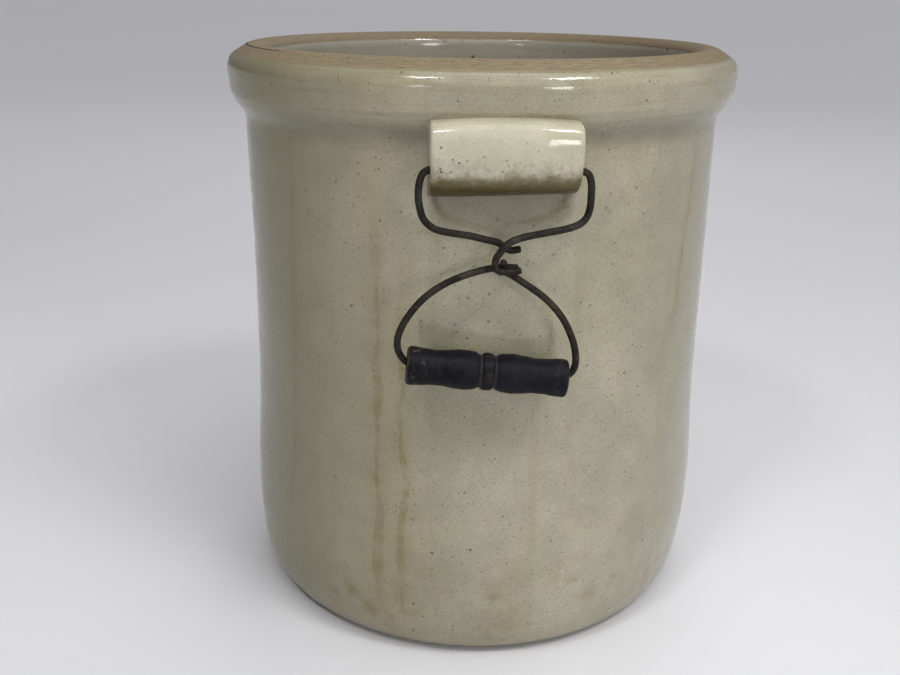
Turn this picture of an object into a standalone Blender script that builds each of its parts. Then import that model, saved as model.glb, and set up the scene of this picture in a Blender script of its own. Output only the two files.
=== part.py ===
"""Stoneware fermenting crock with a wire-and-wood bail handle on each side.

Metres, +Z up, base centre at the origin, front handle toward -Y.
"""
import math

import bmesh
import bpy
from mathutils import Matrix, Vector

MM = 0.001

# ---- crock body -------------------------------------------------------------
SEGMENTS = 72
BODY_HEIGHT = 363.0
WALL_RADIUS = 152.5
RIM_RADIUS = 162.3
BORE_RADIUS = 134.5
FLOOR_THICKNESS = 18.0

# ---- ears (pressed clay lugs) -----------------------------------------------
EAR_HALF_WIDTH = 39.2
EAR_TOP = 335.3
EAR_TOP_DROP = 2.3
EAR_FOOT = 294.5
EAR_FRONT = 175.6
EAR_CORNER = 3.4
EAR_JOINT_GAP = 0.55
EAR_HOLE_RADIUS = 3.5
EAR_HOLE_Y = -163.5
EAR_HOLE_Z = 309.9

# ---- wires ------------------------------------------------------------------
WIRE_RADIUS = 1.95
WIRE_SIDES = 8
HANGER_Y = -163.5
HANGER_Z = 309.3
HOOK_Y = -168.3
HOOK_Z = 257.0
CROSSING_GAP = 0.4

# ---- turned wooden grip -----------------------------------------------------
GRIP_CENTRE = (-7.6, -167.0, 200.3)
GRIP_TILT = math.radians(5.8)
GRIP_HALF = 43.9
GRIP_RADIUS = 11.0
GRIP_BORE = 2.6
GRIP_BORE_MOUTH = 4.5


def clear_scene():
    for old in list(bpy.data.objects):
        bpy.data.objects.remove(old, do_unlink=True)


def material(name, colour, roughness, metallic=0.0, coat=0.0):
    mat = bpy.data.materials.new(name)
    mat.use_nodes = True
    shader = mat.node_tree.nodes["Principled BSDF"]
    shader.inputs["Base Color"].default_value = (*colour, 1.0)
    shader.inputs["Roughness"].default_value = roughness
    shader.inputs["Metallic"].default_value = metallic
    shader.inputs["Coat Weight"].default_value = coat
    mat.diffuse_color = (*colour, 1.0)
    return mat


def finish_object(name, bm, mat, origin=(0.0, 0.0, 0.0)):
    """Turn a bmesh in millimetres into an object whose origin is given in millimetres."""
    bmesh.ops.recalc_face_normals(bm, faces=bm.faces)
    shift = Matrix.Translation(-Vector(origin))
    bmesh.ops.transform(bm, matrix=Matrix.Scale(MM, 4) @ shift, verts=bm.verts)
    for face in bm.faces:
        face.smooth = True
    mesh = bpy.data.meshes.new(name)
    bm.to_mesh(mesh)
    bm.free()
    mesh.materials.append(mat)
    obj = bpy.data.objects.new(name, mesh)
    obj.location = Vector(origin) * MM
    bpy.context.collection.objects.link(obj)
    return obj


def bridge_loops(bm, lower, upper):
    count = len(lower)
    for i in range(count):
        j = (i + 1) % count
        bm.faces.new((lower[i], lower[j], upper[j], upper[i]))


def body_outside():
    """Outer profile (radius, height), foot to the edge of the glaze."""
    wall = WALL_RADIUS
    rim = RIM_RADIUS
    return [
        (wall - 15.0, 0.0), (wall - 11.4, 1.2), (wall - 7.2, 4.2), (wall - 3.2, 9.5),
        (wall + 0.2, 17.0), (wall + 2.2, 27.0), (wall + 3.6, 45.0), (wall + 4.0, 68.0),
        (wall + 3.4, 92.0), (wall + 1.9, 115.0), (wall + 0.6, 142.0), (wall, 175.0),
        (wall - 0.3, 225.0), (wall - 0.6, 280.0), (wall - 0.7, 318.0), (wall + 0.2, 322.5),
        (wall + 3.0, 327.0), (rim - 3.9, 331.2), (rim - 1.5, 335.6), (rim - 0.4, 340.5), (rim, 346.5),
        (rim - 0.6, 351.6), (rim - 2.2, 355.2), (rim - 4.6, 357.4),
    ]


def body_inside():
    """Rim top and bore, from the edge of the glaze down to the inner floor."""
    bore = BORE_RADIUS
    floor = FLOOR_THICKNESS
    return [
        (bore + 21.6, BODY_HEIGHT - 4.8), (bore + 18.3, BODY_HEIGHT - 2.6),
        (bore + 15.4, BODY_HEIGHT - 0.9), (bore + 12.7, BODY_HEIGHT), (bore + 7.7, BODY_HEIGHT),
        (bore + 4.8, BODY_HEIGHT - 1.1), (bore + 2.0, BODY_HEIGHT - 3.4),
        (bore + 0.4, BODY_HEIGHT - 7.0), (bore, BODY_HEIGHT - 20.0),
        (bore, 200.0), (bore + 0.6, 60.0), (bore - 1.4, floor + 16.0),
        (bore - 6.0, floor + 6.5), (bore - 15.0, floor + 1.4), (bore - 26.0, floor),
    ]


def lathe_loops(bm, profile, segments):
    loops = []
    for radius, height in profile:
        ring = []
        for i in range(segments):
            turn = math.tau * i / segments
            ring.append(bm.verts.new((radius * math.cos(turn), radius * math.sin(turn), height)))
        loops.append(ring)
    for lower, upper in zip(loops, loops[1:]):
        bridge_loops(bm, lower, upper)
    return loops


def fan_cap(bm, ring, centre):
    tip = bm.verts.new(centre)
    for i in range(len(ring)):
        bm.faces.new((ring[i], ring[(i + 1) % len(ring)], tip))


def make_body():
    bm = bmesh.new()
    loops = lathe_loops(bm, body_outside() + body_inside(), SEGMENTS)
    fan_cap(bm, loops[0], (0.0, 0.0, 0.0))
    fan_cap(bm, loops[-1], (0.0, 0.0, FLOOR_THICKNESS))
    return finish_object("crock_body", bm, material("glazed_stoneware", (0.50, 0.47, 0.35), 0.25, coat=0.4))


def body_radius_at(height):
    profile = body_outside()
    for (r0, z0), (r1, z1) in zip(profile, profile[1:]):
        if z0 <= height <= z1:
            return r0 + (r1 - r0) * (height - z0) / (z1 - z0)
    return profile[-1][0]


def ear_front_section():
    """Front of the lug in (radius, height), foot to top."""
    return [
        (158.5, EAR_FOOT + 0.8), (164.5, EAR_FOOT + 3.2), (169.8, EAR_FOOT + 7.0),
        (173.4, EAR_FOOT + 12.0), (EAR_FRONT - 0.4, EAR_FOOT + 18.0), (EAR_FRONT, EAR_FOOT + 25.0),
        (EAR_FRONT - 0.9, EAR_FOOT + 32.0), (EAR_FRONT - 3.2, EAR_TOP - 3.2),
        (EAR_FRONT - 6.8, EAR_TOP - 0.8), (EAR_FRONT - 11.0, EAR_TOP),
    ]


def ear_back_section(top):
    """Back of the lug, top to foot, lying against the wall and the underside of the rim."""
    heights = [top - 0.4, 331.2, 327.0, 322.5, 317.0, 306.0, EAR_FOOT]
    return [(body_radius_at(h) + EAR_JOINT_GAP, h) for h in heights]


def make_ear(name, side, mat):
    """Lug with square ends, swept round the wall; its top edge sinks a little toward both ends."""
    core = Vector((163.5, 314.5))
    insets = [0.0, 0.5, 1.6, EAR_CORNER, 12.0, 22.0, 31.0]
    stations = [inset - EAR_HALF_WIDTH for inset in insets]
    stations = stations + [0.0] + [-x for x in reversed(stations)]
    bm = bmesh.new()
    loops = []
    for x in stations:
        reach = max(EAR_CORNER - (EAR_HALF_WIDTH - abs(x)), 0.0)
        pull = EAR_CORNER - math.sqrt(EAR_CORNER ** 2 - reach ** 2)
        drop = EAR_TOP_DROP * (x / EAR_HALF_WIDTH) ** 2
        section = []
        for radius, height in ear_front_section():
            sink = drop * max(height - core.y, 0.0) / (EAR_TOP - core.y)
            point = Vector((radius, height - sink))
            section.append(point + (core - point).normalized() * pull)
        section += [Vector(point) for point in ear_back_section(EAR_TOP - drop)]
        ring = []
        for radius, height in section:
            ring.append(bm.verts.new((side * x, -side * math.sqrt(radius ** 2 - x ** 2), height)))
        loops.append(ring)
    for lower, upper in zip(loops, loops[1:]):
        bridge_loops(bm, lower, upper)
    bm.faces.new(loops[0])
    bm.faces.new(list(reversed(loops[-1])))
    ear = finish_object(name, bm, mat)
    drill = make_drill(name + "_drill", side)
    cut = ear.modifiers.new("wire_hole", "BOOLEAN")
    cut.operation = "DIFFERENCE"
    cut.solver = "EXACT"
    cut.object = drill
    return ear


def make_drill(name, side):
    bm = bmesh.new()
    rings = []
    for x in (-60.0, 60.0):
        ring = []
        for i in range(16):
            turn = math.tau * i / 16
            y = side * (EAR_HOLE_Y + EAR_HOLE_RADIUS * math.cos(turn))
            z = EAR_HOLE_Z + EAR_HOLE_RADIUS * math.sin(turn)
            ring.append(bm.verts.new((x, y, z)))
        rings.append(ring)
    bridge_loops(bm, rings[0], rings[1])
    bm.faces.new(rings[0])
    bm.faces.new(list(reversed(rings[1])))
    drill = finish_object(name, bm, material(name, (0.8, 0.2, 0.2), 0.5))
    drill.display_type = "WIRE"
    drill.hide_render = True
    return drill


def smooth_path(points, steps):
    """Catmull-Rom curve through the points; steps is the number of pieces per span."""
    ends = [points[0] * 2 - points[1]] + list(points) + [points[-1] * 2 - points[-2]]
    path = []
    for i in range(1, len(ends) - 2):
        p0, p1, p2, p3 = ends[i - 1:i + 3]
        span_steps = steps if (p2 - p1).length > 3.0 else max(steps - 1, 1)
        if (p2 - p1).length > 30.0:
            span_steps = 1
        for k in range(span_steps):
            t = k / span_steps
            path.append(0.5 * (2 * p1 + (p2 - p0) * t + (2 * p0 - 5 * p1 + 4 * p2 - p3) * t ** 2
                               + (3 * p1 - p0 - 3 * p2 + p3) * t ** 3))
    path.append(points[-1])
    return path


def rod(name, points, radius, sides, mat, origin):
    """Round wire swept along a smooth path through the points, with flat ends."""
    path = smooth_path([Vector(p) for p in points], 3)
    bm = bmesh.new()
    rings = []
    normal = None
    for i, point in enumerate(path):
        ahead = path[min(i + 1, len(path) - 1)] - path[max(i - 1, 0)]
        ahead.normalize()
        if normal is None:
            normal = ahead.orthogonal().normalized()
        normal = (normal - ahead * normal.dot(ahead)).normalized()
        across = ahead.cross(normal)
        ring = []
        for k in range(sides):
            turn = math.tau * k / sides
            ring.append(bm.verts.new(point + (normal * math.cos(turn) + across * math.sin(turn)) * radius))
        rings.append(ring)
    for lower, upper in zip(rings, rings[1:]):
        bridge_loops(bm, lower, upper)
    bm.faces.new(list(reversed(rings[0])))
    bm.faces.new(rings[-1])
    return finish_object(name, bm, mat, origin)


def turned(points, side):
    """Same piece on the other side of the crock: half a turn about the vertical axis."""
    return [(side * x, side * y, z) for x, y, z in points]


def hanger_points():
    """Stub end, left leg, through the ear, right leg, then the open hook."""
    y = HANGER_Y
    hook = HOOK_Y
    left = [
        (9.0, y, 268.1), (3.6, y, 267.4), (0.2, y, 269.2), (-3.2, y, 271.6), (-8.8, y, 273.0),
        (-18.0, y, 275.2), (-31.0, y, 277.4), (-37.3, y, 279.4), (-42.1, y, 284.0),
        (-44.2, y, 290.5), (-44.9, y, 297.0), (-44.2, y, 303.4), (-42.5, y, 307.8),
        (-39.6, y, HANGER_Z + 0.3), (-35.0, y, HANGER_Z + 0.3),
    ]
    right = [
        (35.0, y, HANGER_Z - 0.3), (39.6, y, HANGER_Z - 0.4), (42.6, y, 307.4), (44.2, y, 303.4),
        (44.6, y, 297.0), (44.4, y, 290.0), (42.9, y, 284.8), (39.4, y, 281.3), (33.6, y, 279.0),
        (21.6, y - 1.2, 276.9), (9.5, hook + 1.2, 275.1), (4.0, hook + 0.2, 273.4),
        (0.4, hook, 271.0), (-2.3, hook, 267.4), (-4.2, hook, 264.6), (-4.8, hook, 261.8),
        (-4.5, hook, 259.2), (-2.9, hook, HOOK_Z + 0.5), (0.0, hook, HOOK_Z), (5.0, hook, HOOK_Z),
        (9.0, hook, HOOK_Z + 1.0),
    ]
    return left + right


def bail_points():
    """Hook tip over the hanger, right leg, through the grip, left leg, stub behind the hook."""
    reach = 2 * WIRE_RADIUS + CROSSING_GAP
    hook = []
    for degrees, slack in ((102, 0.3), (76, 0.5), (48, 0.4), (20, 0.05)):
        turn = math.radians(degrees)
        radius = reach + slack
        hook.append((-0.3, HOOK_Y + radius * math.cos(turn), HOOK_Z + radius * math.sin(turn)))
    back = HOOK_Y + reach
    level = GRIP_CENTRE[1]
    right = [
        (0.2, back, HOOK_Z - 0.6), (2.8, back, 255.0), (6.5, back, 252.8), (10.8, back, 249.8),
        (15.7, back - 0.3, 246.6), (24.7, back - 0.8, 239.5), (32.9, back - 1.4, 229.7),
        (38.5, back - 2.0, 218.2), (40.3, back - 2.6, 211.4), (40.8, level, 206.4),
        (40.4, level, 202.6), (39.2, level, 199.8),
    ]
    through = [grip_point(44.6, 2.0), grip_point(40.0, 0.1), grip_point(-40.0, 0.1),
               grip_point(-44.6, 2.0)]
    left = [
        (-54.4, level, 210.0), (-56.0, level, 214.2), (-56.1, back - 2.6, 219.2),
        (-54.1, back - 2.2, 225.4), (-50.8, back - 1.8, 231.3), (-43.4, back - 1.3, 240.4),
        (-33.8, back - 0.6, 247.8), (-23.2, back, 252.9), (-12.5, back + 1.3, 256.0),
        (-6.5, back + 2.9, 256.8), (0.0, back + reach, 257.0), (8.4, back + reach, 256.8),
    ]
    return hook + right + through + left


def grip_axis():
    return Vector((math.cos(GRIP_TILT), 0.0, -math.sin(GRIP_TILT)))


def grip_point(along, up):
    axis = grip_axis()
    rise = Vector((math.sin(GRIP_TILT), 0.0, math.cos(GRIP_TILT)))
    return tuple(Vector(GRIP_CENTRE) + axis * along + rise * up)


def grip_profile():
    """Half of the turned outline, centre bead to end, as (distance along, radius)."""
    full = GRIP_RADIUS
    return [
        (0.0, full - 0.7), (2.3, full - 0.9), (3.7, full - 1.8), (5.4, full - 1.3), (9.0, full - 0.3),
        (14.0, full), (19.0, full - 0.4), (25.0, full - 1.2), (31.0, full - 1.1), (38.0, full - 0.5),
        (GRIP_HALF - 2.1, full - 0.3), (GRIP_HALF - 0.6, full - 0.8), (GRIP_HALF, full - 2.0),
    ]


def make_grip(name, side, mat):
    half = grip_profile()
    outline = [(-s, r) for s, r in reversed(half[1:])] + half
    bore = [(GRIP_HALF, GRIP_BORE_MOUTH), (GRIP_HALF - 5.0, GRIP_BORE),
            (-GRIP_HALF + 5.0, GRIP_BORE), (-GRIP_HALF, GRIP_BORE_MOUTH)]
    axis = grip_axis()
    rise = Vector((math.sin(GRIP_TILT), 0.0, math.cos(GRIP_TILT)))
    out = axis.cross(rise)
    centre = Vector(GRIP_CENTRE)
    bm = bmesh.new()
    rings = []
    for along, radius in outline + bore:
        ring = []
        for i in range(20):
            turn = math.tau * i / 20
            point = centre + axis * along + (rise * math.cos(turn) + out * math.sin(turn)) * radius
            ring.append(bm.verts.new((side * point.x, side * point.y, point.z)))
        rings.append(ring)
    for lower, upper in zip(rings, rings[1:] + rings[:1]):
        bridge_loops(bm, lower, upper)
    origin = turned([GRIP_CENTRE], side)[0]
    return finish_object(name, bm, mat, origin)


def make_handle(label, side):
    clay = material(label + "_ear_glaze", (0.60, 0.57, 0.43), 0.22, coat=0.5)
    upper = material(label + "_hanger_iron", (0.060, 0.048, 0.040), 0.55, metallic=0.85)
    lower = material(label + "_bail_iron", (0.055, 0.045, 0.040), 0.55, metallic=0.85)
    paint = material(label + "_grip_paint", (0.018, 0.019, 0.028), 0.45)
    make_ear(label + "_ear", side, clay)
    hanger_pivot = turned([(0.0, HANGER_Y, HANGER_Z)], side)[0]
    bail_pivot = turned([(0.0, HOOK_Y, HOOK_Z)], side)[0]
    rod(label + "_hanger_wire", turned(hanger_points(), side), WIRE_RADIUS, WIRE_SIDES, upper, hanger_pivot)
    rod(label + "_bail_wire", turned(bail_points(), side), WIRE_RADIUS, WIRE_SIDES, lower, bail_pivot)
    make_grip(label + "_grip", side, paint)


clear_scene()
make_body()
make_handle("front", 1)
make_handle("rear", -1)
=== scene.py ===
"""Looks for the stoneware fermenting crock: glazed clay, rusted wire bails and painted wooden grips."""
import math

import bmesh
import bpy
import numpy as np
from mathutils import Matrix, Vector


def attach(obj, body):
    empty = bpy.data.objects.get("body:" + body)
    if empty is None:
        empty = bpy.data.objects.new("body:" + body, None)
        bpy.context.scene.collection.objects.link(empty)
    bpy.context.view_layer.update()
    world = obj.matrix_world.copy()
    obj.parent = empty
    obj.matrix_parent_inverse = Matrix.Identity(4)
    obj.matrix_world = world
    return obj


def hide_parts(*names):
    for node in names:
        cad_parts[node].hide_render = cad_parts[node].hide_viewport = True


MM = 0.001
TAU = math.tau

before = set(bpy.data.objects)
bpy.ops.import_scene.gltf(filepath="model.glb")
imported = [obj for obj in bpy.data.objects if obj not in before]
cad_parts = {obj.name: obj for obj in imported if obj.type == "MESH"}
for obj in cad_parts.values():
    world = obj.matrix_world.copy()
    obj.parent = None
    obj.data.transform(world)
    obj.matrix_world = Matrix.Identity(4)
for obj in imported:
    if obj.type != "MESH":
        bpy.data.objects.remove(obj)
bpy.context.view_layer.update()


# ---------------------------------------------------------------------------
# Mesh helpers
# ---------------------------------------------------------------------------

def spline(points, spacing):
    """Centripetal Catmull-Rom curve through points of any dimension, sampled at about that spacing."""
    pts = [np.array(p, float) for p in points]
    pts = [2 * pts[0] - pts[1]] + pts + [2 * pts[-1] - pts[-2]]
    out = []
    for p0, p1, p2, p3 in zip(pts, pts[1:], pts[2:], pts[3:]):
        t0 = 0.0
        t1 = t0 + max(np.linalg.norm(p1 - p0), 1e-6) ** 0.5
        t2 = t1 + max(np.linalg.norm(p2 - p1), 1e-6) ** 0.5
        t3 = t2 + max(np.linalg.norm(p3 - p2), 1e-6) ** 0.5
        count = max(int(round(np.linalg.norm(p2 - p1) / spacing)), 1)
        for k in range(count):
            t = t1 + (t2 - t1) * k / count
            a1 = (t1 - t) / (t1 - t0) * p0 + (t - t0) / (t1 - t0) * p1
            a2 = (t2 - t) / (t2 - t1) * p1 + (t - t1) / (t2 - t1) * p2
            a3 = (t3 - t) / (t3 - t2) * p2 + (t - t2) / (t3 - t2) * p3
            b1 = (t2 - t) / (t2 - t0) * a1 + (t - t0) / (t2 - t0) * a2
            b2 = (t3 - t) / (t3 - t1) * a2 + (t - t1) / (t3 - t1) * a3
            out.append((t2 - t) / (t2 - t1) * b1 + (t - t1) / (t2 - t1) * b2)
    out.append(pts[-2])
    return np.array(out)


def grid_faces(rows, cols, wrap_cols=True, wrap_rows=False):
    """Four-sided faces over a grid of points stored row by row."""
    faces = []
    for i in range(rows if wrap_rows else rows - 1):
        for j in range(cols if wrap_cols else cols - 1):
            a = i * cols + j
            b = i * cols + (j + 1) % cols
            c = ((i + 1) % rows) * cols + (j + 1) % cols
            d = ((i + 1) % rows) * cols + j
            faces.append((a, b, c, d))
    return faces


def add_mesh(name, verts_mm, faces, mat):
    """Smooth-shaded closed mesh object from millimetre coordinates, faces turned outward."""
    mesh = bpy.data.meshes.new(name)
    mesh.from_pydata([tuple(v) for v in np.asarray(verts_mm) * MM], [], faces)
    bm = bmesh.new()
    bm.from_mesh(mesh)
    bmesh.ops.recalc_face_normals(bm, faces=bm.faces)
    for face in bm.faces:
        face.smooth = True
    bm.to_mesh(mesh)
    bm.free()
    mesh.materials.append(mat)
    obj = bpy.data.objects.new(name, mesh)
    bpy.context.collection.objects.link(obj)
    return obj


def smoothstep(low, high, x):
    t = np.clip((x - low) / (high - low), 0.0, 1.0)
    return t * t * (3 - 2 * t)


def bell(x, width):
    return np.exp(-(x / width) ** 2)


# ---------------------------------------------------------------------------
# Material helpers
# ---------------------------------------------------------------------------

class Shader:
    """Small wrapper that keeps node building readable. Positions are object coordinates, in metres."""

    def __init__(self, name):
        self.mat = bpy.data.materials.new(name)
        self.mat.use_nodes = True
        self.tree = self.mat.node_tree
        self.bsdf = self.tree.nodes["Principled BSDF"]
        coord = self.tree.nodes.new("ShaderNodeTexCoord")
        self.pos = coord.outputs["Object"]

    def put(self, socket, value):
        if isinstance(value, bpy.types.NodeSocket):
            self.tree.links.new(value, socket)
        elif value is not None:
            socket.default_value = value

    def math(self, operation, a, b=None, c=None):
        node = self.tree.nodes.new("ShaderNodeMath")
        node.operation = operation
        self.put(node.inputs[0], a)
        self.put(node.inputs[1], b)
        self.put(node.inputs[2], c)
        return node.outputs[0]

    def vector(self, operation, a, b=None, scale=None):
        node = self.tree.nodes.new("ShaderNodeVectorMath")
        node.operation = operation
        self.put(node.inputs[0], a)
        self.put(node.inputs[1], b)
        if scale is not None:
            self.put(node.inputs["Scale"], scale)
        return node.outputs["Value"] if operation in ("DOT_PRODUCT", "LENGTH") else node.outputs["Vector"]

    def split(self, vector):
        node = self.tree.nodes.new("ShaderNodeSeparateXYZ")
        self.put(node.inputs[0], vector)
        return node.outputs

    def join(self, x, y, z):
        node = self.tree.nodes.new("ShaderNodeCombineXYZ")
        for socket, value in zip(node.inputs, (x, y, z)):
            self.put(socket, value)
        return node.outputs[0]

    def noise(self, scale, detail, rough, vector=None):
        node = self.tree.nodes.new("ShaderNodeTexNoise")
        self.put(node.inputs["Vector"], vector or self.pos)
        node.inputs["Scale"].default_value = scale
        node.inputs["Detail"].default_value = detail
        node.inputs["Roughness"].default_value = rough
        return node.outputs["Fac"]

    def cells(self, scale, vector=None):
        """Voronoi distance, and one random number per cell."""
        node = self.tree.nodes.new("ShaderNodeTexVoronoi")
        self.put(node.inputs["Vector"], vector or self.pos)
        node.inputs["Scale"].default_value = scale
        return node.outputs["Distance"], self.split(node.outputs["Color"])[0]

    def remap(self, value, low, high, to_low=0.0, to_high=1.0, smooth=True):
        """Carry low..high over to to_low..to_high, held at both ends."""
        node = self.tree.nodes.new("ShaderNodeMapRange")
        node.interpolation_type = "SMOOTHSTEP" if smooth else "LINEAR"
        self.put(node.inputs["Value"], value)
        limits = {"From Min": low, "From Max": high, "To Min": to_low, "To Max": to_high}
        for key, number in limits.items():
            self.put(node.inputs[key], number)
        return node.outputs["Result"]

    def mix(self, factor, a, b, blend="MIX"):
        node = self.tree.nodes.new("ShaderNodeMix")
        node.data_type = "RGBA"
        node.blend_type = blend
        self.put(node.inputs["Factor"], factor)
        self.put(node.inputs["A"], (*a, 1.0) if isinstance(a, tuple) else a)
        self.put(node.inputs["B"], (*b, 1.0) if isinstance(b, tuple) else b)
        return node.outputs["Result"]

    def spots(self, scale, keep, radius, soft=0.06, vector=None):
        """Scattered round spots: a share of Voronoi cells, each with a soft-edged dot."""
        distance, pick = self.cells(scale, vector)
        chosen = self.math("GREATER_THAN", pick, 1.0 - keep)
        size = self.math("MULTIPLY", pick, radius)
        edge = self.math("SUBTRACT", distance, size)
        return self.times(chosen, self.remap(edge, 0.0, soft, 1.0, 0.0))

    def away(self, value, centre):
        """How far a value is from a centre."""
        return self.math("ABSOLUTE", self.math("SUBTRACT", value, centre))

    def window(self, value, start, full, fade, stop):
        """Mask that rises from start to full and falls again from fade to stop."""
        return self.times(self.remap(value, start, full), self.remap(value, fade, stop, 1.0, 0.0))

    def dim(self, colour, factor):
        """Colour times one number."""
        return self.mix(1.0, colour, self.join(factor, factor, factor), "MULTIPLY")

    def any_of(self, *masks):
        total = masks[0]
        for mask in masks[1:]:
            total = self.math("MAXIMUM", total, mask)
        return total

    def times(self, *factors):
        total = factors[0]
        for factor in factors[1:]:
            total = self.math("MULTIPLY", total, factor)
        return total

    def plus(self, *terms):
        total = terms[0]
        for term in terms[1:]:
            total = self.math("ADD", total, term)
        return total

    def bump(self, height, distance):
        node = self.tree.nodes.new("ShaderNodeBump")
        node.inputs["Strength"].default_value = 1.0
        node.inputs["Distance"].default_value = distance
        self.put(node.inputs["Height"], height)
        return node.outputs["Normal"]

    def finish(self, colour, rough, normal, **constants):
        """Fill the Principled node. Constants are set on the sockets of the same name."""
        self.put(self.bsdf.inputs["Base Color"], colour)
        self.put(self.bsdf.inputs["Roughness"], rough)
        self.put(self.bsdf.inputs["Normal"], normal)
        for key, number in constants.items():
            self.bsdf.inputs[key.replace("_", " ")].default_value = number
        return self.mat


# ---------------------------------------------------------------------------
# Materials
# ---------------------------------------------------------------------------

# Marks on the glaze, listed one by one. Angles run from the front (-Y) towards +X; lengths are metres.
RUNS = (
    # degrees, sideways degrees per metre, top, bottom, half width, strength
    (-53.8, 14.0, 0.385, 0.060, 0.0014, 0.95),
    (-25.6, -6.0, 0.330, 0.020, 0.0025, 0.95),
    (-19.8, -5.0, 0.295, 0.012, 0.0021, 0.92),
    (37.0, 47.0, 0.385, 0.190, 0.0014, 0.90),
    (-118.0, 8.0, 0.320, 0.090, 0.0016, 0.50),
    (141.0, -10.0, 0.310, 0.040, 0.0018, 0.60),
    (96.0, 9.0, 0.322, 0.150, 0.0013, 0.45),
)
STAINS = (
    # degrees, height, radius, strength
    (0.1, 0.047, 0.0060, 0.60),
    (-33.5, 0.038, 0.0090, 0.75),
    (-28.5, 0.029, 0.0090, 0.72),
    (-39.0, 0.031, 0.0070, 0.60),
    (24.0, 0.040, 0.0080, 0.35),
    (38.0, 0.024, 0.0070, 0.30),
    (-49.0, 0.180, 0.0045, 0.25),
    (160.0, 0.050, 0.0090, 0.40),
)
# distances from the axis: of a stain's centre, and of the wall, where the width of a run is measured
STAIN_REACH = 0.1545
WALL_REACH = 0.153
# lengths over which a run fades out
RUN_TOP_FADE = 0.14
RUN_FOOT_FADE = 0.03

GLAZE_OLIVE = (0.312, 0.290, 0.196)
GLAZE_CREAM = (0.366, 0.340, 0.244)
GLAZE_BROWNED = (0.270, 0.240, 0.145)
RIM_BAND = (0.235, 0.208, 0.125)
RUN_HAZE = (0.285, 0.240, 0.125)
PAINTED_SHADE_LEFT = (0.192, 0.172, 0.094)
PAINTED_SHADE_RIGHT = (0.245, 0.222, 0.150)
FOOT_MOTTLE = (0.215, 0.182, 0.098)
INSIDE_DARK = (0.262, 0.240, 0.190)
INSIDE_LIGHT = (0.345, 0.318, 0.250)
RUN_BROWN = (0.190, 0.148, 0.058)
CREASE_SHADE = (0.150, 0.133, 0.076)
SHADOW_AND_SOOT = (0.125, 0.105, 0.058)
SPECK = (0.055, 0.042, 0.028)
CLAY_DARK = (0.165, 0.122, 0.062)
CLAY_LIGHT = (0.282, 0.226, 0.128)
CLAY_MOTTLE = (0.200, 0.160, 0.098)
CLAY_FAR_PAINTED_SHADE = (0.165, 0.122, 0.080)
CLAY_RIGHT = (0.140, 0.096, 0.048)
CLAY_PIT = (0.07, 0.05, 0.03)
CRACK = (0.03, 0.02, 0.012)
LIP_BROWN = (0.20, 0.15, 0.08)
GLAZE_IOR = 1.52


def polar(s):
    """Angle from the front (-Y, turning towards +X), distance from the axis and height."""
    x, y, z = s.split(s.pos)
    angle = s.math("ARCTAN2", x, s.math("MULTIPLY", y, -1.0))
    flat = s.join(x, y, 0.0)
    return angle, s.vector("LENGTH", flat), z


def run_down(s, angle, z, degrees, drift, top, bottom, width, strength):
    """A thin brown run down the wall that wanders, swells and breaks up."""
    path = s.math("MULTIPLY_ADD", z, math.radians(drift), math.radians(degrees))
    wander = s.noise(19.0, 3.0, 0.6, s.join(degrees, 0.0, z))
    path = s.math("MULTIPLY_ADD", wander, 0.110, s.math("SUBTRACT", path, 0.055))
    off = s.math("MULTIPLY", s.away(angle, path), WALL_REACH)
    uneven = s.noise(34.0, 3.0, 0.65, s.join(0.0, degrees, z))
    swell = s.remap(uneven, 0.3, 0.7, 0.55 * width, 1.7 * width)
    ragged = s.math("MULTIPLY_ADD", s.noise(420.0, 3.0, 0.6), 0.0016, off)
    inner = s.math("SUBTRACT", ragged, swell)
    line = s.remap(inner, -0.0006, 0.0016, 0.80, 0.0)
    patchy = s.remap(s.noise(70.0, 2.0, 0.6, s.join(z, degrees, 1.0)), 0.45, 0.65)
    border = s.times(s.remap(s.away(inner, 0.0004), 0.0002, 0.0009, 1.0, 0.0), patchy)
    halo = s.remap(off, 0.0, 6.0 * width, 0.32, 0.0)
    broken = s.remap(s.noise(45.0, 3.0, 0.65, s.join(degrees, 3.0, z)), 0.36, 0.62, 0.38, 1.0)
    ends = s.window(z, bottom, bottom + RUN_FOOT_FADE, top - RUN_TOP_FADE, top)
    return s.times(s.any_of(line, border, halo), broken, ends, strength)


def stain(s, degrees, height, radius, strength):
    """A soft blotch around a point on the wall."""
    turn = math.radians(degrees)
    centre = (STAIN_REACH * math.sin(turn), -STAIN_REACH * math.cos(turn), height)
    reach = s.vector("LENGTH", s.vector("SUBTRACT", s.pos, centre))
    rough_edge = s.math("MULTIPLY_ADD", s.noise(140.0, 3.0, 0.6), 1.2 * radius, reach)
    return s.times(s.remap(rough_edge, 0.7 * radius, 1.7 * radius, 1.0, 0.0), strength)


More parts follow.
